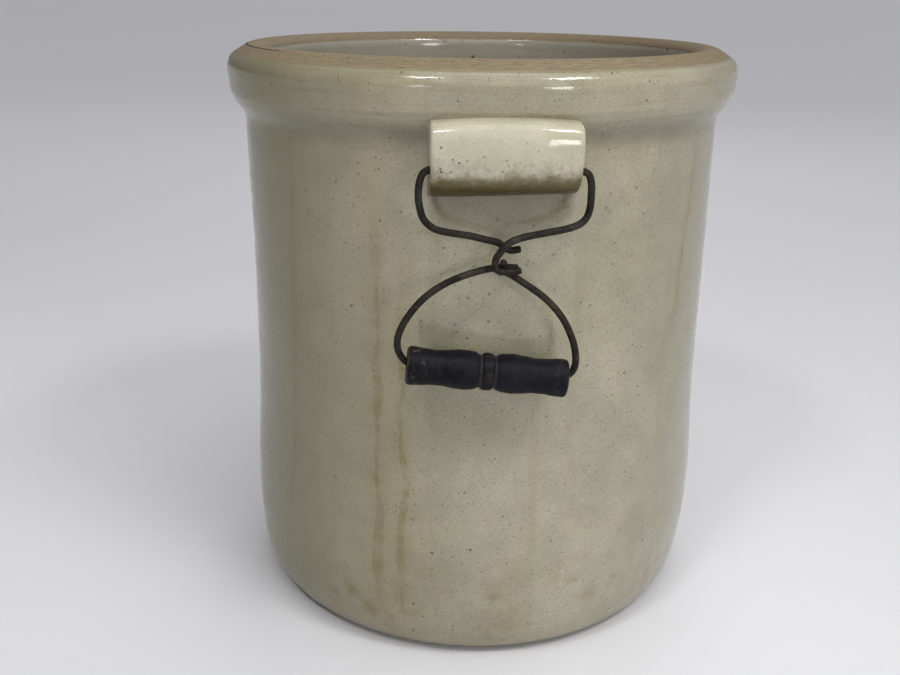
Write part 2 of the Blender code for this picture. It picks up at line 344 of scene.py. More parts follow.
def glaze_tone(s, angle, z):
    """Warm beige drifting to grey-green with fine ash grain, browner in patches; painted shade darkens both
    sides.
    """
    drift = s.remap(s.noise(7.0, 3.0, 0.55), 0.35, 0.65)
    tone = s.mix(drift, GLAZE_OLIVE, GLAZE_CREAM)
    cloud = s.remap(s.noise(38.0, 4.0, 0.6), 0.3, 0.7, 0.90, 1.06)
    grain = s.remap(s.noise(850.0, 2.0, 0.6), 0.35, 0.7, 1.05, 0.86)
    tone = s.dim(tone, s.times(cloud, grain))

    stretched = s.join(s.math("MULTIPLY", angle, 5.0), 0.0, s.math("MULTIPLY", z, 1.2))
    veil = s.remap(s.noise(2.2, 3.0, 0.55, stretched), 0.50, 0.78, 0.0, 0.40)
    tone = s.mix(veil, tone, GLAZE_BROWNED)

    throwing = s.join(s.math("MULTIPLY", angle, 1.6), 0.0, s.math("MULTIPLY", z, 300.0))
    bands = s.remap(s.noise(1.0, 3.0, 0.6, throwing), 0.48, 0.70)
    tone = s.mix(s.times(bands, s.remap(z, 0.305, 0.325), 0.55), tone, RIM_BAND)

    between = s.times(s.remap(s.away(angle, -0.42), 0.03, 0.22, 1.0, 0.0), 0.30)
    between = s.times(between, s.remap(s.noise(18.0, 3.0, 0.6), 0.35, 0.65, 0.3, 1.0))
    tone = s.mix(between, tone, RUN_HAZE)

    # painted shade: both sides of the wall darkened, the left more and most of all near the foot
    left = s.times(s.remap(s.away(angle, -1.35), 0.35, 1.12, 1.0, 0.0), s.remap(z, 0.02, 0.20, 0.95, 0.78))
    tone = s.mix(s.times(left, s.remap(angle, -2.10, -1.50)), tone, PAINTED_SHADE_LEFT)
    right = s.times(s.remap(s.away(angle, 1.25), 0.20, 0.85, 1.0, 0.0), 0.50)
    tone = s.mix(right, tone, PAINTED_SHADE_RIGHT)

    low = s.times(s.remap(s.noise(30.0, 4.0, 0.65), 0.45, 0.66), s.remap(z, 0.012, 0.115, 0.62, 0.0))
    return s.mix(low, tone, FOOT_MOTTLE)


def wall_dirt_and_shade(s, tone, angle, z, outside):
    """Runs and stains, painted shade in the crease under the rim, painted shadow with dirt below each lug.
    Returns colour and stain mask.
    """
    marks = [run_down(s, angle, z, *row) for row in RUNS] + [stain(s, *row) for row in STAINS]
    grime = s.remap(z, 0.0, 0.030, 0.38, 0.0)
    brown = s.times(s.any_of(*marks, grime), outside)
    tone = s.mix(brown, tone, RUN_BROWN)

    # painted shade: a dark band in the crease under the rim, broken up by noise
    crease_shade = s.times(s.window(z, 0.313, 0.3235, 0.3265, 0.335), outside, 0.70)
    crease_shade = s.times(crease_shade, s.remap(s.noise(30.0, 3.0, 0.6), 0.25, 0.7, 0.55, 1.0))
    tone = s.mix(crease_shade, tone, CREASE_SHADE)

    # painted shadow, also standing as dirt: the wall below each lug darkened, fading out toward the rim
    flank = s.math("ABSOLUTE", s.math("SINE", angle))
    sheltered = s.times(s.remap(flank, 0.225, 0.275, 1.0, 0.0), outside)
    ragged_z = s.plus(z, s.times(s.noise(60.0, 3.0, 0.6), 0.012))
    shadow_and_soot = s.times(s.remap(ragged_z, 0.276, 0.302, 0.0, 0.58), sheltered, s.remap(z, 0.308, 0.326, 1.0, 0.0))
    return s.mix(shadow_and_soot, tone, SHADOW_AND_SOOT), brown


def iron_specks(s, z, inside):
    """Dark specks of iron, a few larger and clustered, and burst pits inside below the rim."""
    fine = s.times(s.spots(330.0, 0.34, 0.17, 0.06), 0.50)
    medium = s.times(s.spots(170.0, 0.22, 0.11, 0.05), 0.62)
    shifted = s.vector("ADD", s.pos, (0.0131, 0.0210, 0.0074))
    coarse = s.times(s.spots(88.0, 0.12, 0.060, 0.03, shifted), 0.85)
    patch = s.remap(s.noise(16.0, 2.0, 0.5), 0.58, 0.66)
    crumbs = s.times(s.spots(190.0, 0.5, 0.20, 0.05), patch, s.math("MULTIPLY_ADD", inside, 0.75, 0.25))
    sideways = s.split(s.pos)[0]
    below_rim = s.times(s.remap(z, 0.322, 0.338), s.remap(sideways, -0.045, 0.02), inside)
    burst = s.times(s.spots(120.0, 0.50, 0.21, 0.05), s.remap(s.noise(40.0, 2.0, 0.5), 0.42, 0.56), below_rim)
    return s.any_of(fine, medium, coarse, crumbs, burst)


def rim_clay(s, angle, reach, rim_top):
    """Bare clay with combed grain, pits and one crack along the left, with painted shade on the far side.
    Returns colour, grain and crack.
    """
    round_grain = s.join(s.math("MULTIPLY", reach, 1250.0), s.math("MULTIPLY", angle, 16.0), 0.0)
    lines = s.noise(1.0, 5.0, 0.70, round_grain)
    clay = s.mix(s.remap(lines, 0.32, 0.68), CLAY_DARK, CLAY_LIGHT)
    mottled = s.remap(s.noise(70.0, 5.0, 0.7), 0.38, 0.66)
    clay = s.mix(s.times(mottled, 0.60), clay, CLAY_MOTTLE)
    # painted shade: the rim top darker on the far side, away from the camera
    far = s.times(s.remap(s.math("COSINE", angle), -0.2, 0.75, 1.0, 0.0), 0.55)
    clay = s.mix(far, clay, CLAY_FAR_PAINTED_SHADE)
    right = s.times(s.remap(s.math("SINE", angle), 0.25, 0.95), 0.45)
    clay = s.mix(right, clay, CLAY_RIGHT)
    clay = s.mix(s.times(s.spots(300.0, 0.40, 0.2), 0.65), clay, CLAY_PIT)
    arc = s.window(angle, -1.75, -1.6, -1.0, -0.85)
    crack = s.times(s.remap(s.away(reach, 0.1492), 0.0001, 0.0006, 1.0, 0.0), arc, rim_top)
    return s.mix(crack, clay, CRACK), lines, crack


def body_glaze():
    s = Shader("crock_glaze")
    angle, reach, z = polar(s)
    inside = s.remap(reach, 0.1405, 0.1415, 1.0, 0.0)
    outside = s.math("SUBTRACT", 1.0, inside)
    grey = s.mix(s.noise(30.0, 3.0, 0.5), INSIDE_DARK, INSIDE_LIGHT)
    tone = s.mix(inside, glaze_tone(s, angle, z), grey)
    tone, brown = wall_dirt_and_shade(s, tone, angle, z, outside)
    specks = iron_specks(s, z, inside)
    tone = s.mix(specks, tone, SPECK)

    # bare clay on top of the rim and under the foot, with a brown line where the glaze stops
    ragged = s.math("MULTIPLY_ADD", s.noise(180.0, 3.0, 0.6), 0.0016, -0.0008)
    rim_top = s.remap(s.plus(z, ragged), 0.35765, 0.35815)
    bare = s.math("MAXIMUM", rim_top, s.remap(z, 0.0004, 0.0012, 1.0, 0.0))
    clay, lines, crack = rim_clay(s, angle, reach, rim_top)
    tone = s.mix(bare, tone, clay)
    lip = s.window(z, 0.3567, 0.3576, 0.3577, 0.3584)
    tone = s.mix(s.times(lip, 0.45), tone, LIP_BROWN)

    # relief: soft ripples in the glaze, fine orange peel, pits, combed clay on the rim
    rippled = s.join(s.math("MULTIPLY", angle, 2.4), 0.0, s.math("MULTIPLY", z, 95.0))
    ripple = s.noise(1.0, 3.0, 0.5, rippled)
    dimple = s.noise(55.0, 3.0, 0.5)
    peel = s.noise(420.0, 2.0, 0.5)
    glazed = s.plus(s.times(ripple, 0.30), s.times(dimple, 0.65), s.times(peel, 0.10))
    glazed = s.math("SUBTRACT", glazed, s.times(specks, 0.35))
    combed = s.plus(s.times(lines, 0.9), s.times(s.noise(500.0, 3.0, 0.6), 0.5), s.times(crack, -2.0))
    normal = s.bump(s.mix(bare, glazed, combed), 0.00055)
    gloss = s.remap(s.noise(90.0, 3.0, 0.6), 0.3, 0.75, 0.10, 0.22)
    gloss = s.plus(gloss, s.times(brown, 0.06), s.times(specks, 0.3))
    rough = s.remap(bare, 0.0, 1.0, gloss, 0.78, smooth=False)
    return s.finish(tone, rough, normal, IOR=GLAZE_IOR)


EAR_CREAM = (0.430, 0.402, 0.288)
EAR_PALE = (0.490, 0.462, 0.345)
EAR_MOTTLE = (0.215, 0.188, 0.102)
EAR_STAIN = (0.112, 0.090, 0.034)
EAR_UNDERSIDE_STAIN_AND_SHADE = (0.050, 0.036, 0.009)
EAR_SEAM = (0.305, 0.282, 0.190)
EAR_DIRT = (0.20, 0.17, 0.09)
EAR_SPECK = (0.075, 0.055, 0.030)


def ear_glaze():
    s = Shader("ear_glaze")
    reach, z = polar(s)[1:]
    tone = s.mix(s.remap(s.noise(26.0, 3.0, 0.55), 0.35, 0.65), EAR_CREAM, EAR_PALE)
    tone = s.dim(tone, s.remap(s.noise(800.0, 2.0, 0.6), 0.35, 0.7, 1.03, 0.92))

    # brown stain that creeps up from the underside; the underside darkest, as stain and painted shade
    ragged = s.math("MULTIPLY_ADD", s.noise(160.0, 4.0, 0.65), 0.010, -0.005)
    patchy = s.remap(s.noise(120.0, 4.0, 0.7), 0.4, 0.6)
    mottle = s.times(s.remap(s.plus(z, ragged, ragged), 0.3070, 0.3200, 1.0, 0.0), patchy)
    tone = s.mix(s.times(mottle, 0.60), tone, EAR_MOTTLE)
    low = s.remap(s.plus(z, ragged), 0.3030, 0.3105, 1.0, 0.0)
    tone = s.mix(s.times(low, 0.90), tone, EAR_STAIN)
    # painted shade with stain: the underside of the lug darkest
    under = s.remap(s.plus(z, s.times(ragged, 0.4)), 0.2980, 0.3035, 1.0, 0.0)
    tone = s.mix(s.times(under, 0.90), tone, EAR_UNDERSIDE_STAIN_AND_SHADE)
    s.put(s.bsdf.inputs["Specular IOR Level"], s.remap(low, 0.2, 1.0, 0.5, 0.14))

    # body glaze and dirt in the seam with the wall
    tone = s.mix(s.remap(reach, 0.1535, 0.1590, 1.0, 0.0), tone, EAR_SEAM)
    packed = s.remap(s.noise(70.0, 3.0, 0.6), 0.3, 0.7, 0.2, 0.8)
    tone = s.mix(s.times(s.remap(reach, 0.1525, 0.1545, 1.0, 0.0), packed), tone, EAR_DIRT)

    # specks, thickest just above the stain
    fine = s.times(s.spots(340.0, 0.16, 0.14, 0.05), 0.55)
    coarse = s.times(s.spots(150.0, 0.16, 0.09, 0.03), 0.8)
    dirt_band = s.window(z, 0.302, 0.308, 0.312, 0.324)
    dots = s.times(s.spots(330.0, 0.55, 0.20, 0.05), s.remap(s.noise(48.0, 3.0, 0.6), 0.46, 0.6), dirt_band)
    specks = s.any_of(fine, coarse, dots)
    tone = s.mix(specks, tone, EAR_SPECK)
    relief = s.plus(s.times(s.noise(60.0, 3.0, 0.5), 0.7), s.times(s.noise(420.0, 2.0, 0.5), 0.10))
    relief = s.math("SUBTRACT", relief, s.times(specks, 0.35))
    gloss = s.remap(s.noise(90.0, 3.0, 0.6), 0.3, 0.75, 0.08, 0.18)
    rough = s.plus(gloss, s.times(low, 0.12), s.times(specks, 0.3))
    return s.finish(tone, rough, s.bump(relief, 0.0005), IOR=GLAZE_IOR)


IRON_DARK = (0.009, 0.007, 0.005)
IRON_GREY = (0.026, 0.022, 0.016)
IRON_RUBBED = (0.066, 0.058, 0.046)
IRON_RUST = (0.050, 0.030, 0.015)
IRON_PIT = (0.005, 0.004, 0.004)


def wire_iron():
    s = Shader("wire_iron")
    blotch = s.noise(140.0, 4.0, 0.65)
    fine = s.noise(900.0, 3.0, 0.6)
    tone = s.mix(s.remap(blotch, 0.35, 0.65), IRON_DARK, IRON_GREY)
    rubbed = s.times(s.remap(s.noise(95.0, 4.0, 0.7), 0.52, 0.68), s.remap(fine, 0.35, 0.6, 0.3, 1.0))
    tone = s.mix(s.times(rubbed, 0.75), tone, IRON_RUBBED)
    rust = s.times(s.remap(s.noise(230.0, 3.0, 0.6), 0.53, 0.70), 0.75)
    tone = s.mix(rust, tone, IRON_RUST)
    tone = s.mix(s.remap(fine, 0.35, 0.75, 0.0, 0.55), tone, IRON_PIT)
    relief = s.plus(s.times(blotch, 0.5), s.times(fine, 0.5))
    rough = s.remap(fine, 0.3, 0.7, 0.42, 0.68)
    return s.finish(tone, rough, s.bump(relief, 0.0007), Metallic=0.15, Specular_IOR_Level=0.19)


PAINT_DARK = (0.0030, 0.0032, 0.0052)
PAINT_LIGHT = (0.0080, 0.0082, 0.0125)
PAINT_STREAK = (0.040, 0.037, 0.037)
PAINT_SCUFF = (0.040, 0.039, 0.046)
GROOVE_DUST = (0.052, 0.048, 0.044)
WOOD_DARK = (0.060, 0.040, 0.026)
WOOD_LIGHT = (0.135, 0.098, 0.070)


def grip_paint(name, axis, centre):
    """Blue-black paint on turned wood. axis and centre place the grip, in metres."""
    s = Shader(name)
    local = s.vector("SUBTRACT", s.pos, tuple(centre))
    along = s.vector("DOT_PRODUCT", local, tuple(axis))
    from_bead = s.math("ABSOLUTE", along)
    spun = s.vector("SUBTRACT", local, s.vector("SCALE", tuple(axis), scale=along))
    lengthwise = s.vector("SCALE", tuple(axis), scale=s.math("MULTIPLY", along, 45.0))
    grain = s.noise(1.0, 4.0, 0.6, s.vector("ADD", s.vector("SCALE", spun, scale=900.0), lengthwise))
    smear = s.noise(60.0, 3.0, 0.6)
    tone = s.mix(s.remap(smear, 0.35, 0.7), PAINT_DARK, PAINT_LIGHT)
    streaks = s.times(s.remap(grain, 0.56, 0.74), s.remap(s.noise(120.0, 3.0, 0.6), 0.4, 0.65))
    tone = s.mix(s.times(streaks, 0.45), tone, PAINT_STREAK)
    turned = s.noise(1.0, 3.0, 0.65, s.join(s.math("MULTIPLY", along, 1500.0), 0.0, 0.0))
    scuffs = s.times(s.remap(turned, 0.50, 0.68), s.remap(s.noise(150.0, 3.0, 0.65), 0.42, 0.62))
    tone = s.mix(s.times(scuffs, 0.60), tone, PAINT_SCUFF)
    in_groove = s.remap(s.away(from_bead, 0.0040), 0.0003, 0.0011, 1.0, 0.0)
    groove = s.times(in_groove, s.remap(grain, 0.40, 0.6, 0.35, 1.0))
    tone = s.mix(s.times(groove, 0.50), tone, GROOVE_DUST)

    # paint rubbed off: near the ends, on the centre bead and in scattered chips
    ends = s.remap(from_bead, 0.033, 0.0435)
    left = s.remap(along, -0.030, -0.040)
    chips = s.remap(s.noise(260.0, 4.0, 0.65), 0.56, 0.64)
    chips = s.times(chips, s.plus(s.times(ends, 0.45), s.times(left, 0.55), 0.03))
    edge = s.times(s.remap(from_bead, 0.0425, 0.0438), s.remap(s.noise(300.0, 3.0, 0.6), 0.4, 0.6))
    bead = s.times(s.remap(from_bead, 0.0, 0.0045, 1.0, 0.0), s.remap(grain, 0.45, 0.7), 0.45)
    worn = s.any_of(chips, s.times(edge, 0.7), bead)
    tone = s.mix(worn, tone, s.mix(grain, WOOD_DARK, WOOD_LIGHT))
    relief = s.math("SUBTRACT", s.times(grain, 0.30), s.times(chips, 0.8))
    relief = s.plus(relief, s.times(smear, 0.5), s.times(turned, 0.40))
    rough = s.plus(s.remap(smear, 0.3, 0.7, 0.38, 0.58), s.times(worn, 0.25))
    return s.finish(tone, rough, s.bump(relief, 0.0004), Specular_IOR_Level=0.11)


def floor_paper():
    """Pale paper, with painted light making it a little lighter away from the crock."""
    s = Shader("floor_paper")
    fibre = s.noise(60.0, 4.0, 0.6)
    tone = s.mix(s.noise(1.5, 3.0, 0.5), (0.725, 0.723, 0.750), (0.755, 0.753, 0.775))
    tone = s.mix(s.remap(fibre, 0.35, 0.7, 0.0, 0.12), tone, (0.70, 0.70, 0.72))
    # painted light: the paper lighter far from the crock
    tone = s.mix(s.remap(s.vector("LENGTH", s.pos), 0.7, 3.0), tone, (0.90, 0.90, 0.93))
    return s.finish(tone, 0.55, s.bump(fibre, 0.0002))


# ---------------------------------------------------------------------------
# Crock body
# ---------------------------------------------------------------------------

# radii and the height of the inner floor, in millimetres, and the number of points around
WALL = 152.5
RIM = 162.3
BORE = 134.5
FLOOR = 18.0
COLUMNS = 256


def body_outline():
    """(radius, height) rows: underside, wall, rolled rim, domed rim top, bore, floor; none on the axis."""
    foot = [
        (0.0, 0.0), (60.0, 0.0), (WALL - 18.0, 0.0), (WALL - 15.0, 0.15), (WALL - 11.4, 1.2),
        (WALL - 7.2, 4.2), (WALL - 3.2, 9.5), (WALL + 0.2, 17.0), (WALL + 2.2, 27.0), (WALL + 3.6, 45.0),
    ]
    wall = [
        (WALL + 3.6, 45.0), (WALL + 4.0, 68.0), (WALL + 3.4, 92.0), (WALL + 1.9, 115.0), (WALL + 0.6, 142.0),
        (WALL, 175.0), (WALL - 0.3, 225.0), (WALL - 0.6, 280.0), (WALL - 0.7, 314.0),
    ]
    rim = [
        (WALL - 0.7, 314.0), (WALL - 0.55, 319.5), (WALL + 0.5, 323.2), (WALL + 3.0, 327.0),
        (RIM - 3.9, 331.2), (RIM - 1.6, 335.6), (RIM - 0.75, 340.0), (RIM - 0.7, 343.6),
        (RIM - 0.15, 347.2), (RIM - 0.55, 351.6), (RIM - 1.9, 354.9), (RIM - 4.2, 357.1),
        (RIM - 6.2, 358.2), (BORE + 18.3, 360.4), (BORE + 15.4, 362.1), (BORE + 12.4, 362.9),
        (BORE + 8.6, 362.9), (BORE + 5.2, 361.8), (BORE + 2.2, 359.6), (BORE + 0.4, 356.0),
        (BORE, 349.0), (BORE, 338.0),
    ]
    bore = [(BORE, 338.0), (BORE, 200.0), (BORE + 0.6, 60.0), (BORE - 1.4, 34.0), (BORE - 6.0, 24.5)]
    bottom = [(BORE - 6.0, 24.5), (BORE - 15.0, 19.6), (BORE - 26.0, FLOOR), (60.0, FLOOR), (0.0, FLOOR)]
    parts = ((foot[:3], 30.0), (foot[2:], 1.4), (wall, 5.0), (rim, 0.9), (bore, 9.0), (bottom, 3.0))
    rows = [spline(part, spacing)[:-1] for part, spacing in parts]
    return np.vstack(rows)[1:]


def throw_marks(turn, z, radius):
    """Small departures from a true turned surface, in millimetres, inward at the widest places."""
    wall = smoothstep(30, 80, z) * smoothstep(330, 300, z)
    out = radius > BORE + 6
    rings = 0.10 * np.sin(z * 0.52 + 1.1 * np.sin(turn)) + 0.07 * np.sin(z * 0.23 + 2.0 * np.sin(turn + 1.3))
    sway = 0.30 * np.sin(2 * turn + 0.6) * np.sin(z * 0.012) + 0.22 * np.sin(3 * turn + z * 0.02)
    slump = -2.3 * bell(turn - 1.25, 0.75) * bell(z - 12, 42)
    pinch = -0.9 * bell(turn + 1.45, 0.8) * bell(z - 238, 45)
    lip = -0.25 + 0.16 * np.sin(5 * turn + 0.4) + 0.10 * np.sin(11 * turn)
    rim = smoothstep(326, 336, z)
    return np.where(out, wall * (rings + sway + pinch) + slump + rim * (lip + 0.08 * np.sin(z * 0.9)), 0.0)


def make_body(mat):
    """The turned body, slightly out of round, closed by a fan of faces at the underside and at the floor."""
    rows = body_outline()
    turn = np.linspace(0, TAU, COLUMNS, endpoint=False)[None, :]
    theta = (turn + math.pi) % TAU - math.pi
    radius = rows[:, :1] + np.zeros_like(turn)
    z = rows[:, 1:] + np.zeros_like(turn)
    radius = radius + throw_marks(theta, z, radius)
    lift = 1.5 * np.sin(theta) * smoothstep(312, 324, z) * smoothstep(346, 334, z) * (radius > BORE + 10)
    z = z + lift
    verts = np.stack([radius * np.sin(turn), -radius * np.cos(turn), z], -1).reshape(-1, 3)
    verts = np.vstack([verts, [[0, 0, 0.0], [0, 0, FLOOR]]])
    count = len(rows)
    faces = grid_faces(count, COLUMNS)
    for row, tip in ((0, len(verts) - 2), (count - 1, len(verts) - 1)):
        for j in range(COLUMNS):
            faces.append((row * COLUMNS + j, row * COLUMNS + (j + 1) % COLUMNS, tip))
    return add_mesh("stoneware_body", verts, faces, mat)


# ---------------------------------------------------------------------------
# Ears
# ---------------------------------------------------------------------------

# half width, corner radius, core as (depth, height), radii of root and back, and the wire hole
EAR_HALF = 39.0
EAR_CORNER = 1.6
EAR_CORE = np.array([11.0, 314.5])
EAR_ROOT = WALL - 0.6
EAR_BACK = 148.5
HOLE_Z = 309.9
HOLE_RADIUS = 3.5


def ear_profile():
    """(depth off the wall, z) from the wall below, over the front, to under the rim."""
    outline = [
        (-2.0, 293.2), (-0.4, 293.4), (0.8, 293.6), (2.2, 293.9), (6.0, 294.8), (10.5, 296.6),
        (15.4, 299.8), (19.2, 304.4), (21.6, 310.4), (22.7, 316.6), (23.0, 322.6), (22.3, 327.8),
        (20.4, 332.0), (17.2, 334.5), (13.2, 335.4), (8.0, 335.7), (4.0, 335.8),
    ]
    return spline(outline, 0.8)


def ear_stations():
    """(x, pull toward the core, share of depth) along the ear, with a flared foot on both end faces."""
    corner = EAR_CORNER
    half = [(x, 0.0, 1.0) for x in np.linspace(0, EAR_HALF - corner, 18)[:-1]]
    for a in np.linspace(0, math.pi / 2, 9):
        half.append((EAR_HALF - corner + corner * math.sin(a), corner * (1 - math.cos(a)), 1.0))
    for share in (0.85, 0.68, 0.50, 0.34):
        half.append((EAR_HALF + 0.12 + 0.5 * (0.85 - share), corner, share))
    for a in np.linspace(0.0, math.pi / 2, 7)[1:]:
        share = 0.12 * (1 - math.sin(a)) ** 1.2 - 0.012
        half.append((EAR_HALF + 0.4 + 1.1 * (1 - math.cos(a)), corner, share))
    half.append((EAR_HALF + 2.4, corner, -0.10))
    return [(-x, pull, share) for x, pull, share in reversed(half[1:])] + half


def ear_base(height):
    """Radius of the surface that the lug grows out of."""
    heights = (280, 318, 323, 327, 331, 336)
    radii = (151.6, 151.6, 152.6, 155.3, 158.2, 160.4)
    return float(np.interp(height, heights, radii))


def ear_point(x, pull, share, depth, z):
    """Reach from the axis and height of one point of the profile at one station."""
    drop = 2.3 * min(abs(x) / 39.0, 1.0) ** 2
    foot = 0.9 * math.sin(x * 0.045 + 0.6)
    z = z - drop * max(z - EAR_CORE[1], 0.0) / 21.0 + foot * max(EAR_CORE[1] - z, 0.0) / 22.0
    point = np.array([depth, z])
    inward = EAR_CORE - point
    point = point + inward / np.linalg.norm(inward) * pull * min(max(depth, 0.0) / 6.0, 1.0)
    reach = EAR_ROOT + point[0]
    if point[0] > 0 and share < 1.0:
        base = ear_base(point[1])
        reach = base + max(reach - base, 0.0) * share if share > 0 else base - 2.0
    reach += 0.14 * math.sin(x * 0.13 + point[1] * 0.2) * (point[0] > 8)
    return reach, point[1]


def make_ear(name, side, mat):
    """Lug with square ends that flare into the wall, its top edge sinking toward both ends."""
    verts = []
    stations = ear_stations()
    profile = ear_profile()
    for x, pull, share in stations:
        for depth, z in profile:
            reach, height = ear_point(x, pull, share, depth, z)
            verts.append((side * x, -side * math.sqrt(reach ** 2 - x ** 2), height))
    rows = len(stations)
    cols = len(profile)
    faces = grid_faces(rows, cols, wrap_cols=False)

    # two more rows inside the crock's wall close the back
    inner = []
    for z in (292.0, 333.5):
        inner.append([])
        for x, _, _ in stations:
            inner[-1].append(len(verts))
            verts.append((side * x, -side * math.sqrt(EAR_BACK ** 2 - x ** 2), z))
    low, high = inner
    for i in range(rows - 1):
        faces.append((i * cols, (i + 1) * cols, low[i + 1], low[i]))
        faces.append((i * cols + cols - 1, (i + 1) * cols + cols - 1, high[i + 1], high[i]))
        faces.append((low[i], low[i + 1], high[i + 1], high[i]))
    for i in (0, rows - 1):
        faces.append([i * cols + k for k in range(cols)] + [high[i], low[i]])
    ear = add_mesh(name, verts, faces, mat)
    return drill_ear(ear, side)


def drill_ear(ear, side):
    """Cut the wire hole through the ear and keep only the resulting mesh."""
    count = 28
    verts = []
    for x in (-70.0, 70.0):
        for k in range(count):
            a = TAU * k / count
            y = side * (HANGER_Y + HOLE_RADIUS * math.cos(a))
            verts.append((x, y, HOLE_Z + HOLE_RADIUS * math.sin(a)))
    faces = grid_faces(2, count) + [list(range(count)), list(range(count, 2 * count))]
    drill = add_mesh("drill", verts, faces, ear.data.materials[0])
    cut = ear.modifiers.new("hole", "BOOLEAN")
    cut.operation = "DIFFERENCE"
    cut.solver = "EXACT"
    cut.object = drill
    bpy.context.view_layer.update()
    solved = bpy.data.meshes.new_from_object(ear.evaluated_get(bpy.context.evaluated_depsgraph_get()))
    ear.modifiers.clear()
    ear.data = solved
    bpy.data.objects.remove(drill)
    return ear


# ---------------------------------------------------------------------------
# Wires
# ---------------------------------------------------------------------------

# wire radius, and the places where the wires hang, in millimetres
WIRE = 1.95
WIRE_SIDES = 16
HANGER_Y = -163.5
HANGER_Z = 309.3
HOOK_Y = -168.3
HOOK_Z = 257.0
CROSSING = 2 * WIRE + 0.4
GRIP_CENTRE = np.array([-7.6, -167.0, 200.3])
TILT = math.radians(5.8)
GRIP_AXIS = np.array([math.cos(TILT), 0.0, -math.sin(TILT)])
GRIP_RISE = np.array([math.sin(TILT), 0.0, math.cos(TILT)])


def on_grip(along, up):
    """Point given along the grip's axis and square to it."""
    return tuple(GRIP_CENTRE + GRIP_AXIS * along + GRIP_RISE * up)


def hanger_route():
    """Front hanger from its plain end, up and through the ear, down and round the open hook."""
    y = HANGER_Y
    hook = HOOK_Y
    return [
        (9.0, y, 268.1), (3.6, y, 267.4), (0.2, y, 269.2), (-3.2, y, 271.6), (-8.8, y, 273.0),
        (-18.0, y, 275.2), (-31.0, y, 277.4), (-37.3, y, 279.4), (-42.1, y, 284.0),
        (-44.2, y, 290.5), (-44.9, y, 297.0), (-44.2, y, 303.4), (-42.5, y, 307.8),
        (-39.6, y, HANGER_Z + 0.3), (-35.0, y, HANGER_Z + 0.3), (-15.0, y, HANGER_Z + 0.2),
        (15.0, y, HANGER_Z - 0.2), (35.0, y, HANGER_Z - 0.3), (39.6, y, HANGER_Z - 0.4),
        (42.6, y, 307.4), (44.2, y, 303.4), (44.6, y, 297.0), (44.4, y, 290.0), (42.9, y, 284.8),
        (39.4, y, 281.3), (33.6, y, 279.0), (21.6, y - 1.2, 276.9), (9.5, hook + 1.2, 275.1),
        (4.0, hook + 0.2, 273.4), (0.4, hook, 271.0), (-2.3, hook, 267.4), (-4.2, hook, 264.6),
        (-4.8, hook, 261.8), (-4.5, hook, 259.2), (-2.9, hook, HOOK_Z + 0.5), (0.0, hook, HOOK_Z),
        (5.0, hook, HOOK_Z), (9.0, hook, HOOK_Z + 1.0),
    ]


def bail_route():
    """Front bail from its hook over the hanger, down, through the grip and up to the stub behind."""
    hook = []
    for degrees, slack in ((102, 0.3), (76, 0.5), (48, 0.4), (20, 0.05)):
        turn = math.radians(degrees)
        radius = CROSSING + slack
        hook.append((-0.3, HOOK_Y + radius * math.cos(turn), HOOK_Z + radius * math.sin(turn)))
    back = HOOK_Y + CROSSING
    level = GRIP_CENTRE[1]
    right = [
        (0.2, back, HOOK_Z - 0.6), (2.8, back, 255.0), (6.5, back, 252.8), (10.8, back, 249.8),
        (15.7, back - 0.3, 246.6), (24.7, back - 0.8, 239.5), (32.9, back - 1.4, 229.7),
        (38.5, back - 2.0, 218.2), (40.3, back - 2.6, 211.4), (40.8, level, 206.4),
        (40.4, level, 202.6), (39.2, level, 199.8),
    ]
    through = [on_grip(44.6, 2.0), on_grip(40.0, 0.1), on_grip(20.0, 0.0), on_grip(-20.0, 0.0),
               on_grip(-40.0, 0.1), on_grip(-44.6, 2.0)]
    left = [
        (-54.4, level, 210.0), (-56.0, level, 214.2), (-56.1, back - 2.6, 219.2),
        (-54.1, back - 2.2, 225.4), (-50.8, back - 1.8, 231.3), (-43.4, back - 1.3, 240.4),
        (-33.8, back - 0.6, 247.8), (-23.2, back, 252.9), (-12.5, back + 1.3, 256.0),
        (-6.5, back + 2.9, 256.8), (0.0, back + CROSSING, 257.0), (8.4, back + CROSSING, 256.8),
    ]
    return hook + right + through + left


def make_wire(name, route, side, mat):
    """Drawn wire with slightly uneven thickness and rounded cut ends."""
    path = spline(route, 0.9) * np.array([side, side, 1.0])
    rows = len(path)
    reach = np.concatenate([[0], np.cumsum(np.linalg.norm(np.diff(path, axis=0), axis=1))])
    verts = []
    normal = None
    for i in range(rows):
        ahead = Vector(path[min(i + 1, rows - 1)] - path[max(i - 1, 0)]).normalized()
        if normal is None:
            normal = ahead.orthogonal().normalized()
        normal = (normal - ahead * normal.dot(ahead)).normalized()
        across = ahead.cross(normal)
        end = min(reach[i], reach[-1] - reach[i])
        swell = 1.0 - 0.030 * (0.5 + 0.5 * math.sin(reach[i] * 0.61) * math.sin(reach[i] * 0.23 + 1.0))
        taper = 1.0 - 0.22 * max(0.0, 1.0 - end / 0.9) ** 2
        for k in range(WIRE_SIDES):
            a = TAU * k / WIRE_SIDES
            offset = (normal * math.cos(a) + across * math.sin(a)) * WIRE * swell * taper
            verts.append(tuple(Vector(path[i]) + offset))
    faces = grid_faces(rows, WIRE_SIDES)
    faces.append(list(range(WIRE_SIDES)))
    faces.append([(rows - 1) * WIRE_SIDES + k for k in range(WIRE_SIDES)])
    return add_mesh(name, verts, faces, mat)


# ---------------------------------------------------------------------------
# Grips
# ---------------------------------------------------------------------------

GRIP_COLUMNS = 56


